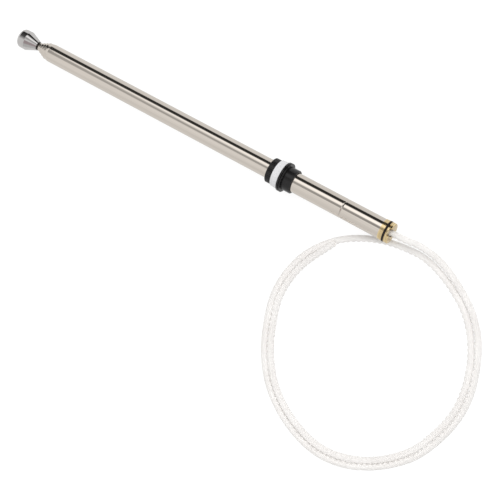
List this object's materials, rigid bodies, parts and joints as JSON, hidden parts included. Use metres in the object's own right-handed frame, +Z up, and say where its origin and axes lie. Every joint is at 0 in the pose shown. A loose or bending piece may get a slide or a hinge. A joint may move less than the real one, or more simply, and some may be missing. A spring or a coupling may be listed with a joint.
{
  "type": "telescopic antenna",
  "caption": "Retracted telescopic mast with a domed knob, sliding collar, brass foot and coiled toothed drive cable.",
  "frame": {"origin": "on the ground under the middle of the mast", "axes": "+X along the mast towards the knob, +Z up from the ground, the coil lies on the +Y side"},
  "size_m": [0.2582, 0.1046, 0.0132],
  "materials": {
    "stainless": "polished stainless tube, slightly warm",
    "knob_chrome": "bright chrome plate",
    "brass": "turned brass, pale",
    "spring_bronze": "spring bronze strip",
    "black_plastic": "moulded black plastic, satin",
    "white_plastic": "moulded white plastic, satin",
    "dark_rubber": "dark rubber",
    "nylon": "milky translucent nylon"
  },
  "bodies": {
    "mast_base": {"outer_tube": "stainless", "stop_sleeve": "stainless", "brass_foot": "brass", "foot_seal_ring": "dark_rubber", "drive_cable_lead": "nylon", "drive_cable_coil": "nylon"},
    "collar": {"collar_flange_sleeve": "black_plastic", "collar_wiper": "dark_rubber", "collar_insulator": "white_plastic", "collar_top_ring": "black_plastic"},
    "section_1": {"section_1_tube": "stainless", "section_1_spring": "spring_bronze", "section_1_stop": "brass"},
    "section_2": {"section_2_tube": "stainless", "section_2_spring": "spring_bronze", "section_2_stop": "brass"},
    "section_3": {"section_3_tube": "stainless", "section_3_spring": "spring_bronze", "section_3_stop": "brass"},
    "tip": {"tip_rod": "stainless", "tip_spring": "spring_bronze", "tip_stop": "brass", "tip_knob": "knob_chrome", "tip_seal_ring": "dark_rubber", "cable_ferrule": "stainless", "drive_cable_inner": "nylon"}
  },
  "joints": [
    {"name": "section_1_slide", "type": "slide", "parent": "mast_base", "child": "section_1", "axis": [1, 0, 0], "range_m": [0, 0.145]},
    {"name": "section_2_slide", "type": "slide", "parent": "section_1", "child": "section_2", "axis": [1, 0, 0], "range_m": [0, 0.1465]},
    {"name": "section_3_slide", "type": "slide", "parent": "section_2", "child": "section_3", "axis": [1, 0, 0], "range_m": [0, 0.148]},
    {"name": "tip_slide", "type": "slide", "parent": "section_3", "child": "tip", "axis": [1, 0, 0], "range_m": [0, 0.1425]},
    {"name": "collar_slide", "type": "slide", "parent": "mast_base", "child": "collar", "axis": [1, 0, 0], "range_m": [0, 0.1189]}
  ]
}
